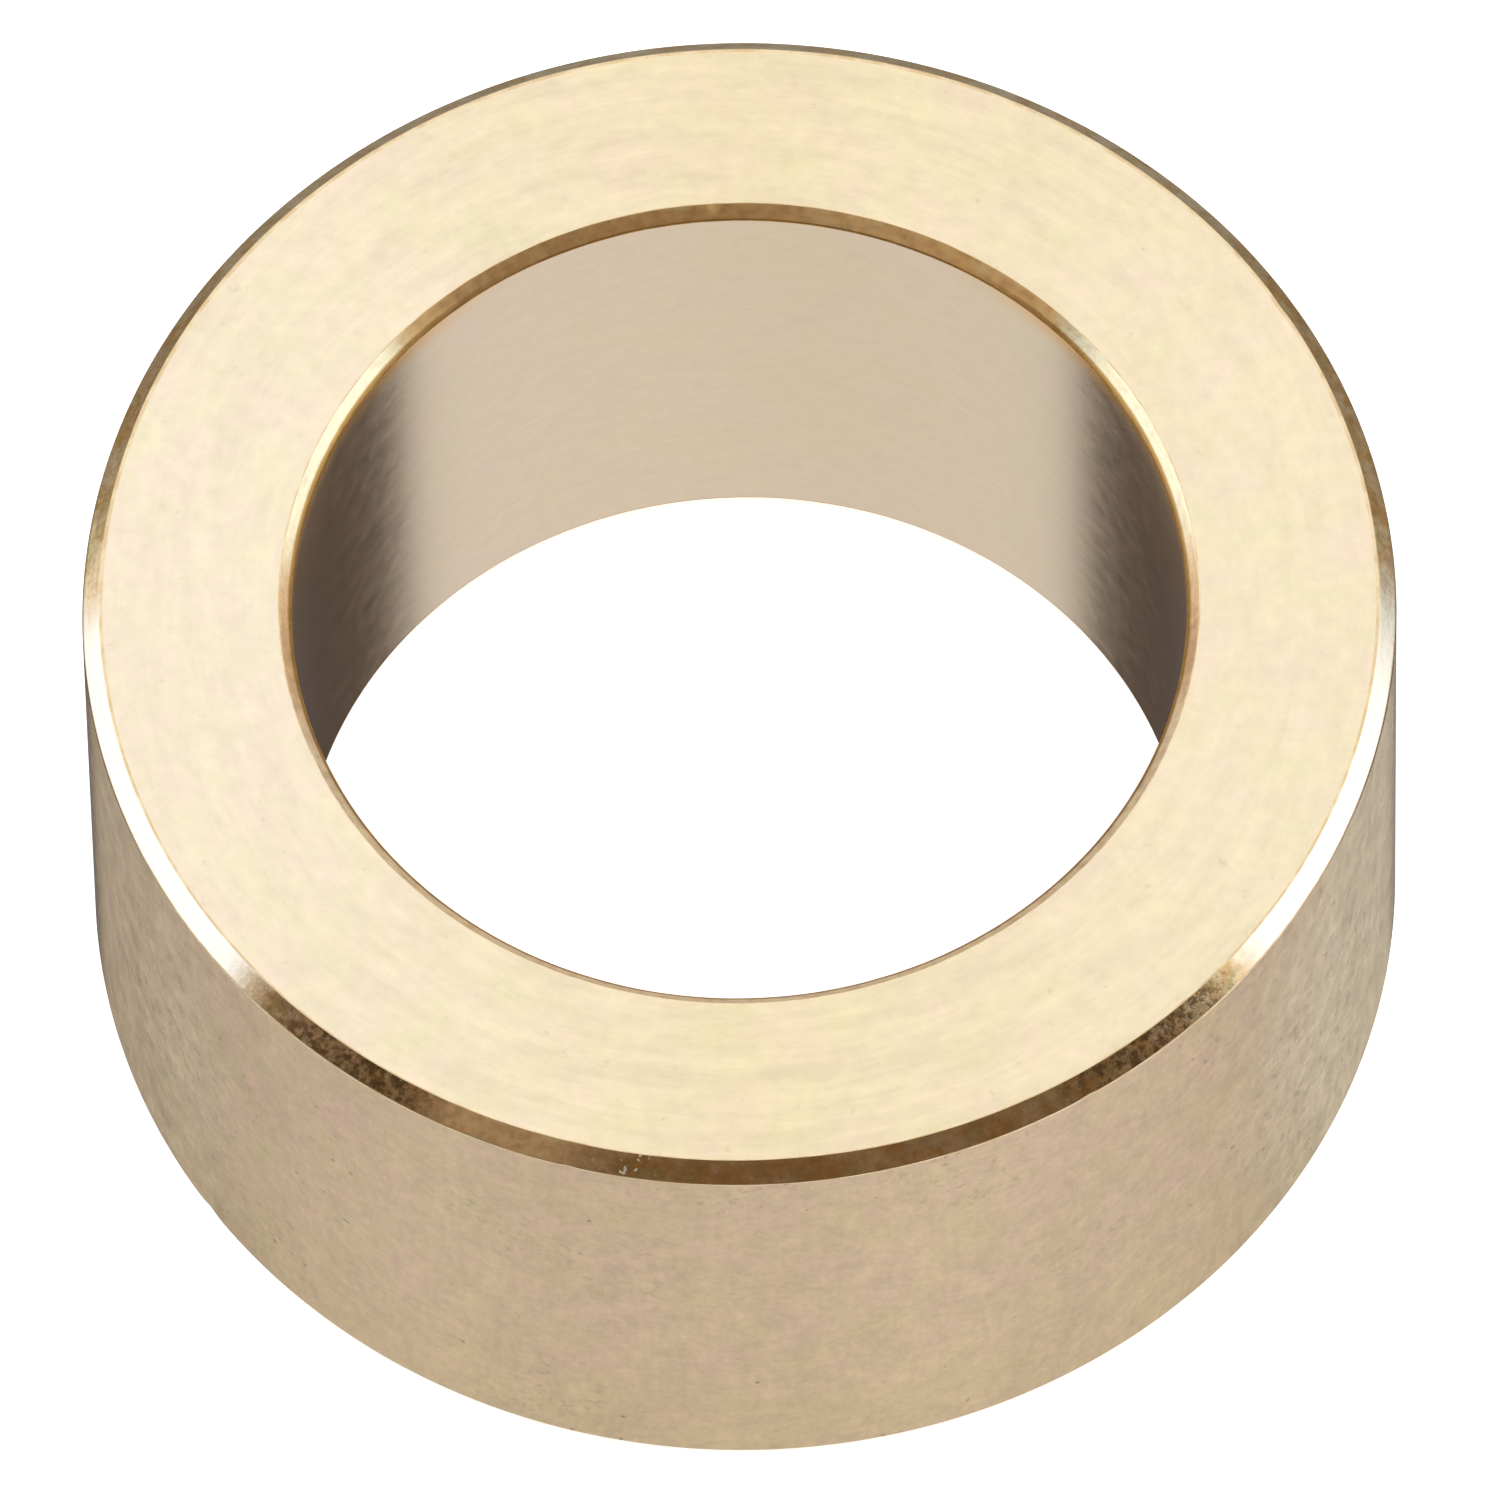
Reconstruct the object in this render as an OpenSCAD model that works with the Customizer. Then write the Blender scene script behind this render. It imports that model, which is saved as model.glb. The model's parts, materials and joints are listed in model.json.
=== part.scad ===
// Plain bronze sleeve bushing: one machined ring with a straight bore,
// a straight outside diameter, two faced ends and a 45 degree chamfer
// on each of its four edges. Millimetres.
// The origin is the centre of the lower end face, and +Z runs along the bore.

/* [Body] */
// Diameter of the bore, where the shaft runs
bore_d = 32; // [26:0.5:37]
// Outside diameter, where the housing holds the bushing
outside_d = 47; // [43:0.5:60]
// Length over the two end faces
length = 21; // [10:0.5:50]

/* [Edges] */
// Leg of the 45 degree chamfer at each end of the outside diameter
outside_chamfer = 0.65; // [0.3:0.05:1.2]
// Leg of the 45 degree chamfer at each end of the bore
bore_chamfer = 0.45; // [0.3:0.05:1.2]

/* [Hidden] */
$fn = 192;

bore_r = bore_d / 2;
outside_r = outside_d / 2;
bronze = [0.80, 0.66, 0.42];

// Half of the ring's cross-section, with the bore axis at x = 0
module wall_section() {
    polygon([
        [bore_r + bore_chamfer, 0],
        [outside_r - outside_chamfer, 0],
        [outside_r, outside_chamfer],
        [outside_r, length - outside_chamfer],
        [outside_r - outside_chamfer, length],
        [bore_r + bore_chamfer, length],
        [bore_r, length - bore_chamfer],
        [bore_r, bore_chamfer]
    ]);
}

// The bushing itself, turned about the bore axis
module sleeve() {
    color(bronze)
        rotate_extrude()
            wall_section();
}

sleeve();
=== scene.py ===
"""The looks of a bronze sleeve bushing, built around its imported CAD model. Metres, +Z along the bore."""
import json
import math

import bmesh
import bpy
from mathutils import Matrix, Vector, noise


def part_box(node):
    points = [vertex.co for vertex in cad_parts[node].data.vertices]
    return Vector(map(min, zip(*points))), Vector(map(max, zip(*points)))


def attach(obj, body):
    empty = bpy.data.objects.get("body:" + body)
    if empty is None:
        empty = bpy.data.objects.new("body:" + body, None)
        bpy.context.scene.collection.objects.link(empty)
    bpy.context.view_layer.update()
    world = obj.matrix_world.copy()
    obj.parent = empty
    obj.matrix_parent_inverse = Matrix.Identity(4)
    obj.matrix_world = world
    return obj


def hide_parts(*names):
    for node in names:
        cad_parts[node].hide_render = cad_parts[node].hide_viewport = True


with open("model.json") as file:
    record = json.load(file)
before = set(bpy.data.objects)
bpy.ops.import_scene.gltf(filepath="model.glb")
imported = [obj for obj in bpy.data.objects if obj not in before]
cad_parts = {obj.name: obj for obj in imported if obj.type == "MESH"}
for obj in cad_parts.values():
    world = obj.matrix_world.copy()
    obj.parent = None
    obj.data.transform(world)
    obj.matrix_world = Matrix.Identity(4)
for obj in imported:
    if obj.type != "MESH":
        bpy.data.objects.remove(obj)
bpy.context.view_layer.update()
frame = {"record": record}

MM = 0.001

# ---------------------------------------------------------------- sizes, from the frame

mounts = {mount["name"]: mount for mount in frame["record"]["mounts"]}
low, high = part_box("sleeve")
LENGTH = high[2] - low[2]
OUTER_R = mounts["outside_diameter"]["dims"]["r_mm"] * MM
BORE_R = mounts["bore"]["dims"]["r_mm"] * MM
OUTER_CHAMFER = (LENGTH - mounts["outside_diameter"]["dims"]["length_mm"] * MM) / 2
BORE_CHAMFER = (LENGTH - mounts["bore"]["dims"]["length_mm"] * MM) / 2

# ---------------------------------------------------------------- node helpers


def add_node(tree, kind, inputs=None, **settings):
    """A new node, with its settings set and its inputs either linked or given a value."""
    made = tree.nodes.new(kind)
    for name, value in settings.items():
        setattr(made, name, value)
    for key, value in (inputs or {}).items():
        if isinstance(value, bpy.types.NodeSocket):
            tree.links.new(value, made.inputs[key])
        else:
            made.inputs[key].default_value = value
    return made


def calc(tree, operation, *values):
    """The result of a Math node on sockets or numbers."""
    return add_node(tree, "ShaderNodeMath", dict(enumerate(values)), operation=operation).outputs[0]


def total(tree, *values):
    """The sum of sockets or numbers."""
    result = values[0]
    for value in values[1:]:
        result = calc(tree, "ADD", result, value)
    return result


def product(tree, *values):
    """The product of sockets or numbers."""
    result = values[0]
    for value in values[1:]:
        result = calc(tree, "MULTIPLY", result, value)
    return result


def ramp(tree, value, start, end, low=0.0, high=1.0):
    """Goes smoothly from low to high while value goes from start to end."""
    if start > end:
        start, end, low, high = end, start, high, low
    made = add_node(tree, "ShaderNodeMapRange",
                    {0: value, 1: start, 2: end, 3: low, 4: high},
                    interpolation_type="SMOOTHSTEP")
    return made.outputs[0]


def blend(tree, factor, first, second):
    """A colour or a number part of the way from first to second."""
    colour = any(isinstance(v, tuple) or getattr(v, "type", "") == "RGBA" for v in (first, second))
    made = tree.nodes.new("ShaderNodeMix")
    made.data_type = "RGBA" if colour else "FLOAT"
    slots = [s for s in made.inputs if s.enabled]
    for slot, value in zip(slots, (factor, first, second)):
        if isinstance(value, bpy.types.NodeSocket):
            tree.links.new(value, slot)
        else:
            slot.default_value = (*value, 1.0) if isinstance(value, tuple) else value
    return [s for s in made.outputs if s.enabled][0]


def scale_colour(tree, colour, factor):
    """A colour made lighter or darker by a number."""
    made = add_node(tree, "ShaderNodeVectorMath", {0: colour, "Scale": factor}, operation="SCALE")
    return made.outputs[0]


def fractal(tree, vector, detail=2.0, roughness=0.5, distortion=0.0):
    """Soft noise about 0.5, with one lump to each unit of the vector."""
    made = add_node(tree, "ShaderNodeTexNoise",
                    {"Vector": vector, "Scale": 1.0, "Detail": detail, "Roughness": roughness,
                     "Distortion": distortion})
    return made.outputs[0]


# ---------------------------------------------------------------- the ring's mesh

# Steps round the axis, and steps along the rounding of each corner
SEGMENTS = 768
EDGE_STEPS = 6
# How far apart the rows of points along a straight side are
ROW_GAP = 1.1 * MM
# Where those rows start from a corner, just clear of the widest rounding
ROW_MARGIN = 0.14 * MM
# The middle of the slow wave by which each chamfer is over size
CHAMFER_WAVE = 0.012 * MM
CHAMFER_WAVE_TURNS = 7
# How many widths away from its centre a nick still counts
NICK_REACH = 3
FACE, OUTSIDE, BORE, OUTER_CUT, BORE_CUT, EDGE, LIP = range(7)
# The surface that follows each corner of the section, from the lower face outward and round
SURFACES = (FACE, OUTER_CUT, OUTSIDE, OUTER_CUT, FACE, BORE_CUT, BORE, BORE_CUT)
# The surface of each corner's rounding, in the same order
CORNERS = (EDGE, EDGE, EDGE, EDGE, EDGE, EDGE, LIP, LIP)
# Handling nicks: angle in degrees, corner of the section, depth and width in millimetres
NICKS = (
    (31, 4, 0.05, 0.45), (258.5, 4, 0.04, 0.30), (254.0, 3, 0.04, 0.30), (92.5, 5, 0.04, 0.25),
    (236, 4, 0.04, 0.25), (301, 3, 0.04, 0.30), (12, 2, 0.05, 0.40), (119, 1, 0.05, 0.40),
    (214, 2, 0.04, 0.35), (277, 1, 0.04, 0.40), (166, 7, 0.04, 0.30), (349, 0, 0.04, 0.35),
)


def wander(angle, seed, turns):
    """A smooth wavy value between about -1 and 1 that closes on itself round the ring."""
    return noise.noise(Vector((math.cos(angle) * turns, math.sin(angle) * turns, seed * 17.3)))


def section_corners(extra=(0, 0, 0, 0)):
    """The eight corners of the wall's section as (radius, height). Each chamfer may be a hair over size."""
    inner, outer, top = BORE_R, OUTER_R, LENGTH
    low_out, top_out = OUTER_CHAMFER + extra[0], OUTER_CHAMFER + extra[1]
    top_in, low_in = BORE_CHAMFER + extra[2], BORE_CHAMFER + extra[3]
    return [Vector(corner) for corner in (
        (inner + low_in, 0), (outer - low_out, 0), (outer, low_out), (outer, top - top_out),
        (outer - top_out, top), (inner + top_in, top), (inner, top - top_in), (inner, low_in))]


PLAIN_CORNERS = section_corners()


def corner_radii(angle):
    """The radius of each corner's rounding. The outer chamfers' edges are softer at the back and sides."""
    crisp, lip = 0.07 * MM, 0.14 * MM
    side = crisp + 0.09 * MM * abs(math.cos(angle))
    back = crisp + 0.11 * MM * (1 + math.sin(angle))
    return (crisp, back, side, side, back, crisp, lip, lip)


def section_outline(angle):
    """The section with each corner rounded a little, and rows of points along its straight sides.
    Each point comes with the surface that follows it."""
    corners = section_corners([CHAMFER_WAVE * (1 + wander(angle, seed, CHAMFER_WAVE_TURNS))
                               for seed in range(4)])
    radii = corner_radii(angle)
    points = []
    for i, corner in enumerate(corners):
        following = corners[(i + 1) % 8]
        before = (corners[i - 1] - corner).normalized()
        after = (following - corner).normalized()
        turn = math.pi - before.angle(after)
        setback = radii[i] * math.tan(turn / 2)
        start, end = corner + before * setback, corner + after * setback
        centre = corner + (before + after).normalized() * (radii[i] / math.cos(turn / 2))
        for step in range(EDGE_STEPS + 1):
            way = (start - centre).normalized().slerp((end - centre).normalized(), step / EDGE_STEPS)
            points.append((centre + way * radii[i], CORNERS[i] if step < EDGE_STEPS else SURFACES[i]))
        rows = max(2, round((PLAIN_CORNERS[(i + 1) % 8] - PLAIN_CORNERS[i]).length / ROW_GAP))
        first, last = corner + after * ROW_MARGIN, following - after * ROW_MARGIN
        points += [(first.lerp(last, row / rows), SURFACES[i]) for row in range(rows + 1)]
    return points


def nick_list():
    """Each nick as its centre, the way into the metal, its depth and its width."""
    into = (
        Vector((0.4, 1)), Vector((-0.4, 1)), Vector((-1, 0.4)), Vector((-1, -0.4)),
        Vector((-0.4, -1)), Vector((0.4, -1)), Vector((1, -0.4)), Vector((1, 0.4)))
    found = []
    for degrees, corner, depth, width in NICKS:
        angle = math.radians(degrees)
        c, s = math.cos(angle), math.sin(angle)
        radius, height = PLAIN_CORNERS[corner]
        way = into[corner].normalized()
        found.append((Vector((radius * c, radius * s, height)), Vector((way.x * c, way.x * s, way.y)),
                      depth * MM, width * MM))
    return found


def build_ring():
    """The section at every step round the axis, dented by the nicks and joined into one closed ring."""
    nicks = nick_list()
    mesh = bpy.data.meshes.new("bronze_sleeve")
    shape = bmesh.new()
    rings = []
    for segment in range(SEGMENTS):
        angle = 2 * math.pi * segment / SEGMENTS
        c, s = math.cos(angle), math.sin(angle)
        outline = section_outline(angle)
        places = [Vector((p.x * c, p.x * s, p.y)) for p, _ in outline]
        for centre, way, depth, width in nicks:
            if (centre.xy - Vector((c, s)) * centre.xy.length).length > NICK_REACH * width:
                continue
            for place in places:
                place += way * depth * math.exp(-((place - centre).length / width) ** 2)
        rings.append([shape.verts.new(place) for place in places])
    surfaces = [surface for _, surface in section_outline(0.0)]
    count = len(surfaces)
    for segment in range(SEGMENTS):
        this, following = rings[segment], rings[(segment + 1) % SEGMENTS]
        for row in range(count):
            up = (row + 1) % count
            face = shape.faces.new((this[row], following[row], following[up], this[up]))
            face.material_index = surfaces[row]
    bmesh.ops.recalc_face_normals(shape, faces=shape.faces)
    shape.to_mesh(mesh)
    shape.free()
    mesh.shade_smooth()
    ring = bpy.data.objects.new("bronze_sleeve", mesh)
    bpy.context.scene.collection.objects.link(ring)
    return ring


# ---------------------------------------------------------------- bronze


class Bronze:
    """One cut surface of the ring: its tree, and the coordinates that its patterns are laid along."""

    def __init__(self, name, anisotropic):
        self.material = bpy.data.materials.new(name)
        self.material.use_nodes = True
        self.tree = tree = self.material.node_tree
        self.shader = tree.nodes["Principled BSDF"]
        self.place = add_node(tree, "ShaderNodeTexCoord").outputs["Object"]
        self.x, self.y, self.z = add_node(tree, "ShaderNodeSeparateXYZ", {0: self.place}).outputs
        self.radius = calc(tree, "SQRT", total(tree, product(tree, self.x, self.x),
                                               product(tree, self.y, self.y)))
        self.cos = calc(tree, "DIVIDE", self.x, self.radius)
        self.sin = calc(tree, "DIVIDE", self.y, self.radius)
        # The turning marks run round the axis, so they smear what the metal mirrors across themselves
        if anisotropic:
            self.shader.inputs["Anisotropic"].default_value = anisotropic
            self.shader.inputs["Anisotropic Rotation"].default_value = 0.25
            tangent = add_node(tree, "ShaderNodeTangent", direction_type="RADIAL", axis="Z")
            tree.links.new(tangent.outputs[0], self.shader.inputs["Tangent"])

    def round_and_across(self, lumps_round, across, pitch, seed=0.0):
        """A vector for streaks that run round the axis, pitch apart in the direction across them."""
        tree = self.tree
        return add_node(tree, "ShaderNodeCombineXYZ", {
            0: product(tree, self.cos, lumps_round), 1: product(tree, self.sin, lumps_round),
            2: calc(tree, "MULTIPLY_ADD", across, 1 / pitch, seed)}).outputs[0]

    def lumps(self, size, seed=0.0, stretch=(1.0, 1.0, 1.0)):
        """A vector for lumps of about one size, longer along an axis with a smaller stretch."""
        made = add_node(self.tree, "ShaderNodeVectorMath",
                        {0: self.place, 1: tuple(s / size for s in stretch), 2: (seed, seed * 0.7, -seed)},
                        operation="MULTIPLY_ADD")
        return made.outputs[0]

    def patch(self, degrees, radius, height, size, rise=1.0):
        """1 round a place on the ring, fading to 0 at size from it, and rise times taller than wide."""
        angle = math.radians(degrees)
        spot = (radius * math.cos(angle), radius * math.sin(angle), height / rise)
        squeezed = add_node(self.tree, "ShaderNodeVectorMath", {0: self.place, 1: (1.0, 1.0, 1.0 / rise)},
                            operation="MULTIPLY").outputs[0]
        away = add_node(self.tree, "ShaderNodeVectorMath", {0: squeezed, 1: spot}, operation="DISTANCE")
        return ramp(self.tree, away.outputs["Value"], size, 0.35 * size)

    def wave(self, vector, depth, detail=2.0, roughness=0.5, distortion=0.0):
        """Noise about zero, with most of it within plus or minus depth."""
        tree = self.tree
        value = fractal(tree, vector, detail, roughness, distortion)
        return product(tree, calc(tree, "SUBTRACT", value, 0.5), depth * 4)

    def finish(self, colour, rough, height, metal=1.0):
        """Wires the maps in. height is in metres."""
        tree = self.tree
        tree.links.new(colour, self.shader.inputs["Base Color"])
        tree.links.new(rough, self.shader.inputs["Roughness"])
        if isinstance(metal, bpy.types.NodeSocket):
            tree.links.new(metal, self.shader.inputs["Metallic"])
        else:
            self.shader.inputs["Metallic"].default_value = metal
        bump = add_node(tree, "ShaderNodeBump", {"Strength": 1.0, "Distance": 1.0, "Height": height})
        tree.links.new(bump.outputs[0], self.shader.inputs["Normal"])
        return self.material


MICRON = 1e-6
# How far apart the slanting scratches are, and how long they run
SCRATCH_GAP = 0.45 * MM
SCRATCH_RUN = 7.0 * MM


def face_bronze():
    """Faced end: bright, with fine rings round the axis and faint handling smudges."""
    s = Bronze("bronze_face", 0.60)
    tree = s.tree
    fine = s.wave(s.round_and_across(9, s.radius, 0.22 * MM), 1.0, 3, 0.6)
    broad = s.wave(s.round_and_across(5, s.radius, 0.8 * MM, 5.0), 1.0, 3, 0.55)
    mottle = s.wave(s.lumps(0.75 * MM, 3.0), 1.0, 4, 0.65)
    hue = s.wave(s.lumps(2.6 * MM, 8.0), 1.0, 4, 0.62)
    smudge = ramp(tree, fractal(tree, s.lumps(0.7 * MM, 12.0), 3, 0.6), 0.64, 0.76)
    # painted highlight: the face's colour goes lighter towards the left side, and half as far towards the
    # right
    painted_side_highlight = calc(tree, "MAXIMUM", product(tree, s.cos, 0.5), product(tree, s.cos, -1.0))
    warm = blend(tree, painted_side_highlight, (0.874, 0.775, 0.478), (0.922, 0.835, 0.602))
    rosy = blend(tree, painted_side_highlight, (0.900, 0.733, 0.545), (0.948, 0.793, 0.680))
    colour = blend(tree, calc(tree, "MULTIPLY_ADD", hue, 0.5, 0.5), warm, rosy)
    # the turning rings are real; drawing them stronger at front and back than at the sides is painted sheen
    rings = calc(tree, "MULTIPLY_ADD", product(tree, s.sin, s.sin), 0.7, 0.6)
    tone = total(tree, product(tree, fine, rings, 0.035), product(tree, broad, rings, 0.055),
                 product(tree, mottle, 0.062), product(tree, smudge, -0.12), 1.0)
    rough = total(tree, product(tree, fine, 0.04), product(tree, mottle, 0.03), 0.30)
    height = total(tree, product(tree, fine, 0.7 * MICRON), product(tree, broad, 1.5 * MICRON),
                   product(tree, mottle, 1.5 * MICRON))
    return s.finish(scale_colour(tree, colour, tone), rough, height)


def outside_bronze():
    """Outside diameter: turned, then dulled in the air, with pits, fine grain and light scratches."""
    s = Bronze("bronze_outside", 0.0)
    tree = s.tree
    fine = s.wave(s.round_and_across(20, s.z, 0.35 * MM), 1.0, 3, 0.6)
    upright = s.wave(s.lumps(0.30 * MM, 4.0, (1, 1, 0.20)), 1.0, 3, 0.6)
    grain = s.wave(s.lumps(0.34 * MM, 17.0), 1.0, 3, 0.65)
    mottle = s.wave(s.lumps(1.1 * MM, 2.0), 1.0, 4, 0.62)
    hue = s.wave(s.lumps(2.2 * MM, 7.0), 1.0, 5, 0.62)
    broad = s.wave(s.lumps(8 * MM, 15.0, (1, 1, 0.25)), 1.0, 1, 0.5)
    speckle = ramp(tree, fractal(tree, s.lumps(0.42 * MM, 10.0), 3, 0.6), 0.54, 0.68)
    # dark specks, most of them where the wall is worn, and pits that keep to a few areas
    worn = calc(tree, "MAXIMUM", s.patch(332, OUTER_R, 0.40 * LENGTH, 9 * MM),
                s.patch(207, OUTER_R, 0.50 * LENGTH, 8 * MM))
    speckled = calc(tree, "MAXIMUM", worn,
                    ramp(tree, fractal(tree, s.lumps(7 * MM, 21.0), 2, 0.5), 0.50, 0.66))
    pit = ramp(tree, fractal(tree, s.lumps(0.50 * MM, 31.0), 2, 0.5), 0.70, 0.76)
    pitted = ramp(tree, fractal(tree, s.lumps(6 * MM, 36.0), 1, 0.5), 0.42, 0.60)
    # slanting scratches: thin lines where a long, narrow noise crosses its middle value
    slant = add_node(tree, "ShaderNodeCombineXYZ", {
        0: total(tree, product(tree, s.y, 0.8 / SCRATCH_GAP), product(tree, s.z, -0.6 / SCRATCH_GAP)),
        1: total(tree, product(tree, s.y, 0.6 / SCRATCH_RUN), product(tree, s.z, 0.8 / SCRATCH_RUN)),
        2: 4.0}).outputs[0]
    line = calc(tree, "ABSOLUTE", calc(tree, "SUBTRACT", fractal(tree, slant, 1, 0.4), 0.5))
    rubbed = calc(tree, "MAXIMUM", s.patch(203, OUTER_R, 0.50 * LENGTH, 7.5 * MM),
                  ramp(tree, fractal(tree, s.lumps(5.5 * MM, 44.0), 1, 0.5), 0.68, 0.76, 0.0, 0.4))
    scratch = product(tree, ramp(tree, line, 0.035, 0.010), rubbed)
    # painted sheen: lighter, duller areas near the right and left sides, with less metal there
    painted_sheen_patch = calc(tree, "MAXIMUM", s.patch(346, OUTER_R, 0.50 * LENGTH, 13.5 * MM, 2.2),
                   product(tree, s.patch(201, OUTER_R, 0.50 * LENGTH, 9 * MM, 3.0), 0.40))
    painted_sheen_patch = product(tree, painted_sheen_patch, calc(tree, "MULTIPLY_ADD", mottle, 0.15, 0.85))
    colour = blend(tree, calc(tree, "MULTIPLY_ADD", hue, 0.5, 0.5),
                   (0.620, 0.508, 0.300), (0.672, 0.480, 0.364))
    colour = blend(tree, ramp(tree, s.z, 0.5 * LENGTH, 0.0, 0.0, 0.6), colour, (0.625, 0.492, 0.290))
    # the pale colour of these patches is painted sheen
    colour = blend(tree, product(tree, painted_sheen_patch, 0.75), colour, (0.80, 0.71, 0.54))
    tone = total(tree, product(tree, fine, 0.018), product(tree, upright, 0.045),
                 product(tree, grain, 0.100), product(tree, mottle, 0.105), product(tree, broad, 0.045),
                 product(tree, speckle, speckled, -0.18),
                 product(tree, pit, pitted, -0.40), product(tree, scratch, 0.11), 1.0)
    # glossier where the wall is seen at a grazing angle
    skim = add_node(tree, "ShaderNodeLayerWeight", {"Blend": 0.5}).outputs["Facing"]
    rough = total(tree, product(tree, grain, 0.03), product(tree, mottle, 0.03),
                  product(tree, scratch, -0.03), ramp(tree, skim, 0.905, 0.985, 0.46, 0.16))
    height = total(tree, product(tree, fine, 0.9 * MICRON), product(tree, grain, 1.2 * MICRON),
                   product(tree, mottle, 2.2 * MICRON), product(tree, pit, pitted, -8 * MICRON),
                   product(tree, scratch, 1.2 * MICRON))
    metal = calc(tree, "MULTIPLY_ADD", painted_sheen_patch, -0.30, 0.75)
    return s.finish(scale_colour(tree, colour, tone), rough, height, metal)


def bore_bronze():
    """Bore: finely turned, smoother than the outside."""
    s = Bronze("bronze_bore", 0.35)
    tree = s.tree
    fine = s.wave(s.round_and_across(9, s.z, 0.25 * MM), 1.0, 3, 0.6)
    streak = s.wave(s.round_and_across(16, s.z, 0.8 * MM, 4.0), 1.0, 4, 0.62)
    mottle = s.wave(s.lumps(0.9 * MM, 5.0), 1.0, 4, 0.6)
    grain = s.wave(s.lumps(0.35 * MM, 25.0), 1.0, 2, 0.6)
    hue = s.wave(s.lumps(3.0 * MM, 9.0), 1.0, 3, 0.55)
    colour = blend(tree, calc(tree, "MULTIPLY_ADD", hue, 0.5, 0.5),
                   (0.765, 0.636, 0.450), (0.780, 0.622, 0.475))
    # a thin amber strip under the upper chamfer, at the two sides
    amber = product(tree, ramp(tree, s.z, LENGTH - 1.7 * MM, LENGTH - 0.5 * MM),
                    ramp(tree, calc(tree, "ABSOLUTE", s.cos), 0.45, 0.85))
    colour = blend(tree, amber, colour, (0.86, 0.50, 0.16))
    metal = calc(tree, "MULTIPLY_ADD", amber, -0.28, 1.0)
    tone = total(tree, product(tree, fine, 0.016), product(tree, streak, 0.022),
                 product(tree, mottle, 0.028), product(tree, grain, 0.014), 1.0)
    rough = total(tree, product(tree, streak, 0.03), product(tree, mottle, 0.02), 0.23)
    height = total(tree, product(tree, fine, 0.4 * MICRON), product(tree, streak, 0.15 * MICRON),
                   product(tree, mottle, 0.2 * MICRON), product(tree, grain, 0.25 * MICRON))
    return s.finish(scale_colour(tree, colour, tone), rough, height, metal)


def outer_chamfer_bronze():
    """Outer chamfer: a clean bright cut, browned in patches, with one rubbed golden stretch and an almost
    white painted highlight at each side.
    """
    s = Bronze("bronze_outer_chamfer", 0.0)
    tree = s.tree
    fine = s.wave(s.round_and_across(10, s.radius, 0.16 * MM, 2.0), 1.0, 2, 0.6)
    grain = s.wave(s.lumps(0.28 * MM, 2.0), 1.0, 3, 0.65)
    patch = ramp(tree, fractal(tree, s.lumps(1.1 * MM, 5.0), 4, 0.65), 0.40, 0.60)
    olive = ramp(tree, fractal(tree, s.lumps(0.8 * MM, 11.0), 3, 0.6), 0.48, 0.64, 0.0, 0.55)
    dirty = calc(tree, "MAXIMUM", s.patch(234, OUTER_R, LENGTH, 5.5 * MM),
                 s.patch(308, OUTER_R, LENGTH, 5.5 * MM))
    colour = blend(tree, patch, (0.97, 0.76, 0.49), (0.82, 0.53, 0.23))
    colour = blend(tree, olive, colour, (0.70, 0.60, 0.32))
    dirt = ramp(tree, fractal(tree, s.lumps(0.34 * MM, 23.0), 4, 0.7), 0.42, 0.60)
    colour = blend(tree, product(tree, dirt, dirty, 0.9), colour, (0.26, 0.18, 0.09))
    # painted highlight: the chamfer goes almost white at the left and right, towards the front, and shows
    # less grain there
    painted_highlight = product(tree, ramp(tree, calc(tree, "ABSOLUTE", s.cos), 0.735, 0.80),
                       ramp(tree, s.sin, 0.10, -0.06))
    colour = blend(tree, painted_highlight, colour, (1.0, 0.93, 0.80))
    rub = s.patch(248, OUTER_R, LENGTH, 4.6 * MM)
    colour = blend(tree, product(tree, rub, 0.9), colour, (0.98, 0.66, 0.33))
    fleck = product(tree, ramp(tree, fractal(tree, s.lumps(0.24 * MM, 33.0), 2, 0.5), 0.62, 0.70),
                    s.patch(259, OUTER_R, LENGTH, 1.6 * MM))
    colour = blend(tree, fleck, colour, (1.0, 0.92, 0.74))
    uneven = calc(tree, "MULTIPLY_ADD", painted_highlight, -0.6, 1.0)
    tone = total(tree, product(tree, fine, uneven, 0.10), product(tree, grain, uneven, 0.16), 1.0)
    rough = total(tree, product(tree, grain, 0.03), product(tree, rub, 0.25), product(tree, dirty, 0.05),
                  product(tree, fleck, 0.35), 0.16)
    height = total(tree, product(tree, fine, 0.4 * MICRON), product(tree, grain, 0.7 * MICRON),
                   product(tree, dirt, dirty, -1.5 * MICRON))
    return s.finish(scale_colour(tree, colour, tone), rough, height)


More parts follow.
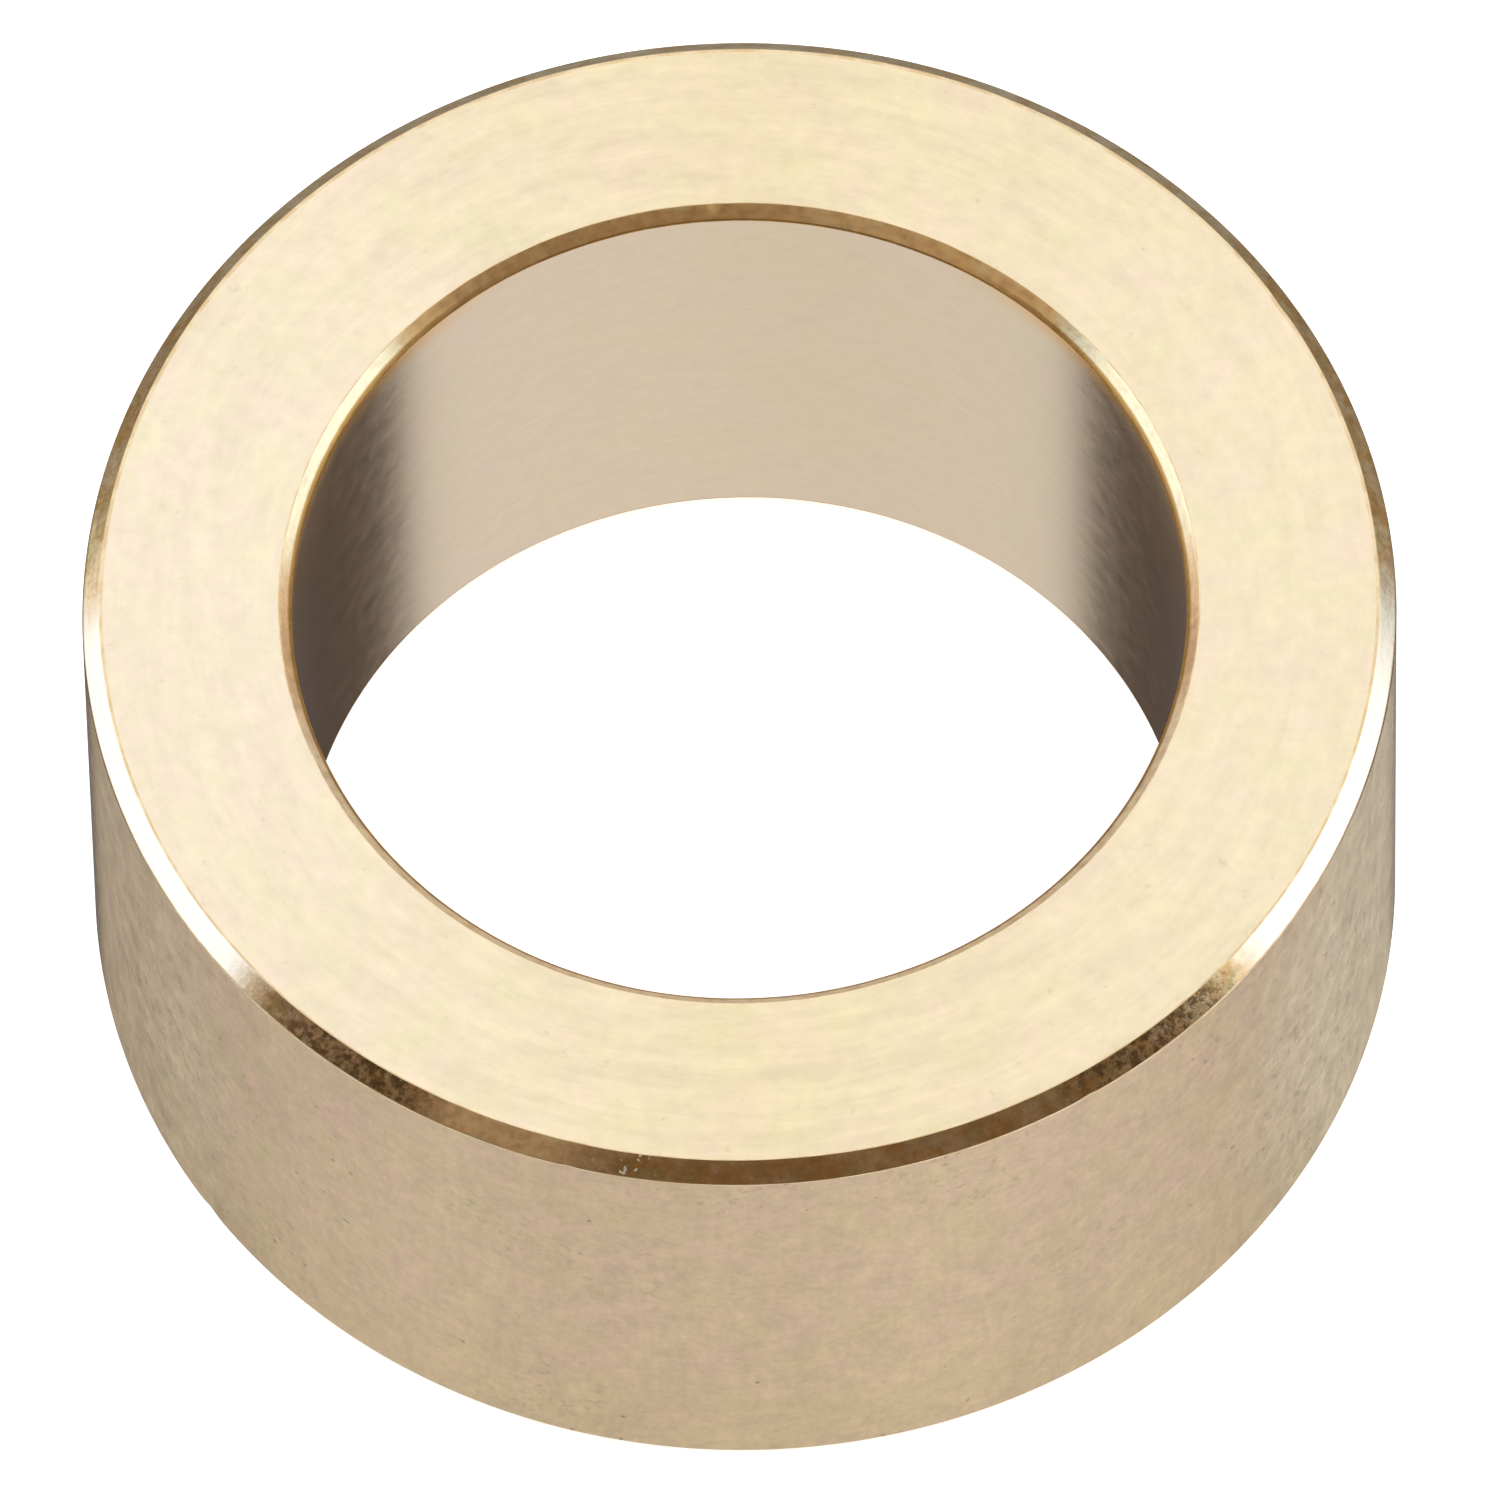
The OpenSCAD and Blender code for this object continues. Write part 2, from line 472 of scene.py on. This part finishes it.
def bore_chamfer_bronze():
    """Bore chamfer: softer than the outer one and more golden."""
    s = Bronze("bronze_bore_chamfer", 0.0)
    tree = s.tree
    fine = s.wave(s.round_and_across(8, s.radius, 0.14 * MM, 6.0), 1.0, 2, 0.6)
    grain = s.wave(s.lumps(0.40 * MM, 6.0), 1.0, 3, 0.6)
    hue = s.wave(s.lumps(1.8 * MM, 13.0), 1.0, 4, 0.6)
    colour = blend(tree, calc(tree, "MULTIPLY_ADD", hue, 0.5, 0.5), (0.98, 0.75, 0.39), (0.99, 0.60, 0.25))
    # painted light: the chamfer goes lighter and less golden towards the front
    colour = blend(tree, ramp(tree, s.sin, 0.35, -0.3, 0.0, 0.85), colour, (0.97, 0.84, 0.64))
    aside = calc(tree, "ABSOLUTE", s.cos)
    # painted highlight: the chamfer goes lighter at the left and right, towards the back
    painted_highlight = product(tree, ramp(tree, aside, 0.69, 0.77), ramp(tree, s.sin, -0.25, 0.0))
    colour = blend(tree, painted_highlight, colour, (1.0, 0.88, 0.61))
    tanned = product(tree, ramp(tree, aside, 0.94, 0.99), ramp(tree, s.sin, 0.24, 0.02))
    colour = blend(tree, tanned, colour, (0.88, 0.62, 0.36))
    # a dark brown line along the chamfer's lower edge: at the sides it is the metal's colour, at the front
    # it is painted shade
    dark_edge_and_painted_shade = product(tree, ramp(tree, s.radius, BORE_R + 0.19 * MM, BORE_R + 0.09 * MM),
                       calc(tree, "MAXIMUM", ramp(tree, aside, 0.45, 0.75), ramp(tree, s.sin, -0.2, -0.6)))
    colour = blend(tree, dark_edge_and_painted_shade, colour, (0.46, 0.27, 0.08))
    rubbed = s.patch(65, BORE_R, LENGTH, 7 * MM)
    tone = total(tree, product(tree, fine, 0.10), product(tree, grain, 0.16), 1.0)
    rough = total(tree, product(tree, grain, 0.04), product(tree, rubbed, 0.14),
                  product(tree, painted_highlight, -0.10), ramp(tree, s.sin, 0.0, -0.3, 0.0, 0.08), 0.36)
    height = total(tree, product(tree, fine, 0.4 * MICRON), product(tree, grain, 1.2 * MICRON))
    return s.finish(scale_colour(tree, colour, tone), rough, height)


def edge_bronze(name, light, dark, gloss, metal):
    """The broken corners: rubbed, a little deeper in colour."""
    s = Bronze(name, 0.0)
    tree = s.tree
    wear = ramp(tree, fractal(tree, s.lumps(0.8 * MM, 6.0), 3, 0.6), 0.38, 0.62)
    rough = ramp(tree, wear, 0.0, 1.0, gloss + 0.06, gloss - 0.06)
    height = s.wave(s.lumps(0.3 * MM, 2.0), 1.0 * MICRON, 2, 0.5)
    return s.finish(blend(tree, wear, dark, light), rough, height, metal)


ring = build_ring()
for made in (face_bronze(), outside_bronze(), bore_bronze(), outer_chamfer_bronze(), bore_chamfer_bronze(),
             edge_bronze("bronze_edge", (0.90, 0.73, 0.48), (0.80, 0.60, 0.35), 0.30, 1.0),
             edge_bronze("bronze_lip", (0.62, 0.38, 0.13), (0.46, 0.27, 0.08), 0.42, 0.85)):
    ring.data.materials.append(made)
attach(ring, "root")
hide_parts("sleeve")

# ---------------------------------------------------------------- floor

FLOOR_SIDE = 4.0
# A hair under the lower face, so that the two never lie in one plane
FLOOR_GAP = 0.02 * MM


def build_floor():
    """A plain pale sheet of paper under the ring."""
    bpy.ops.mesh.primitive_plane_add(size=FLOOR_SIDE, location=(0, 0, low[2] - FLOOR_GAP))
    floor = bpy.context.object
    floor.name = "floor"
    paper = bpy.data.materials.new("floor_paper")
    paper.use_nodes = True
    shader = paper.node_tree.nodes["Principled BSDF"]
    shader.inputs["Base Color"].default_value = (0.92, 0.92, 0.92, 1)
    shader.inputs["Roughness"].default_value = 1.0
    shader.inputs["Specular IOR Level"].default_value = 0.0
    shader.inputs["Emission Color"].default_value = (1, 1, 1, 1)
    shader.inputs["Emission Strength"].default_value = 0.75
    floor.data.materials.append(paper)
    # The metal mirrors the studio below the horizon instead of the paper
    floor.visible_glossy = False
    return floor


build_floor()

# ---------------------------------------------------------------- studio light


def build_studio():
    """A soft studio all round: bright above and at both sides, dark where the photographer stands."""
    world = bpy.data.worlds.new("studio")
    bpy.context.scene.world = world
    world.use_nodes = True
    tree = world.node_tree
    tree.nodes.clear()
    direction = add_node(tree, "ShaderNodeTexCoord").outputs["Generated"]
    x, y, z = add_node(tree, "ShaderNodeSeparateXYZ", {0: direction}).outputs
    across = calc(tree, "SQRT", total(tree, product(tree, x, x), product(tree, y, y), 1e-6))
    front = calc(tree, "DIVIDE", product(tree, y, -1.0), across)
    right = calc(tree, "DIVIDE", x, across)
    aside = calc(tree, "ABSOLUTE", right)
    # front and right go from -1 to 1: how far a direction points to the camera's side, and to its right
    # above the horizon: a wide ceiling, a softbox at each side, and the dark room in front
    far_end = blend(tree, ramp(tree, right, -0.1, 0.1), ramp(tree, front, -0.62, -0.52),
                    ramp(tree, front, -0.43, -0.31))
    softbox = product(tree, ramp(tree, aside, 0.80, 0.90), ramp(tree, z, 0.80, 0.42), far_end)
    lamp = blend(tree, ramp(tree, right, -0.5, 0.5), (1.18, 1.20, 1.25), (1.24, 1.26, 1.29))
    above = blend(tree, softbox, (1.04, 1.03, 1.00), lamp)
    room_end = blend(tree, ramp(tree, right, -0.1, 0.1), ramp(tree, front, 0.24, 0.33),
                     ramp(tree, front, 0.31, 0.40))
    room = product(tree, room_end, ramp(tree, z, 0.84, 0.62))
    above = blend(tree, room, above, (0.180, 0.128, 0.088))
    # below it: the light table in front, its shaded part behind, and a little light from the far wall
    behind = blend(tree, ramp(tree, right, -0.1, 0.1), ramp(tree, front, -0.06, -0.28),
                   ramp(tree, front, 0.04, -0.18))
    shade = blend(tree, ramp(tree, z, -0.62, -0.15), (0.096, 0.074, 0.062), (0.28, 0.245, 0.20))
    wall = blend(tree, ramp(tree, z, -0.78, -0.52), (0.110, 0.112, 0.130), (0.30, 0.29, 0.27))
    shade = blend(tree, ramp(tree, front, -0.80, -0.94), shade, wall)
    low_down = ramp(tree, z, -0.72, -0.35)
    left_table = blend(tree, low_down, (0.84, 0.83, 0.81), (0.68, 0.68, 0.70))
    right_table = blend(tree, low_down, (0.87, 0.86, 0.85), (1.12, 1.11, 1.12))
    table = blend(tree, ramp(tree, right, -0.6, 0.6), left_table, right_table)
    below = blend(tree, behind, table, shade)
    horizon = blend(tree, ramp(tree, right, -0.1, 0.1), ramp(tree, z, -0.11, -0.03),
                    ramp(tree, z, -0.03, 0.03))
    colour = blend(tree, horizon, below, above)
    seen = add_node(tree, "ShaderNodeLightPath").outputs["Is Camera Ray"]
    colour = blend(tree, seen, colour, (1.0, 1.0, 1.0))
    light = add_node(tree, "ShaderNodeBackground", {"Color": colour, "Strength": 1.0})
    add_node(tree, "ShaderNodeOutputWorld", {"Surface": light.outputs[0]})


build_studio()

# ---------------------------------------------------------------- camera

ELEVATION = math.radians(60.54)
ROLL = math.radians(1.21)
DISTANCE = OUTER_R / 0.015
# What the picture's width takes in at that distance
VIEW_WIDTH = 2.2944 * OUTER_R
# The point that the camera looks at: how far below the upper face on the axis, then how far to the
# camera's right and down
AIM_DEPTH = 0.4358 * OUTER_R
AIM_RIGHT = 0.0120 * OUTER_R
AIM_DOWN = 0.0128 * OUTER_R
SENSOR = 36.0


def build_camera():
    """A long lens from in front and above. The optical axis passes just beside the ring's middle."""
    data = bpy.data.cameras.new("camera")
    camera = bpy.data.objects.new("camera", data)
    bpy.context.scene.collection.objects.link(camera)
    data.sensor_width = SENSOR
    data.lens = SENSOR * DISTANCE / VIEW_WIDTH
    data.clip_start, data.clip_end = 0.05, 10.0
    right = Vector((1, 0, 0))
    up = Vector((0, math.sin(ELEVATION), math.cos(ELEVATION)))
    back = Vector((0, -math.cos(ELEVATION), math.sin(ELEVATION)))
    camera_right = right * math.cos(ROLL) - up * math.sin(ROLL)
    camera_up = right * math.sin(ROLL) + up * math.cos(ROLL)
    middle = Vector((0, 0, high[2] - AIM_DEPTH))
    aim = middle + camera_right * AIM_RIGHT - camera_up * AIM_DOWN
    turn = Matrix((camera_right, camera_up, back)).transposed()
    camera.matrix_world = Matrix.Translation(aim + back * DISTANCE) @ turn.to_4x4()
    bpy.context.scene.camera = camera


build_camera()
bpy.context.scene.view_settings.view_transform = "Standard"
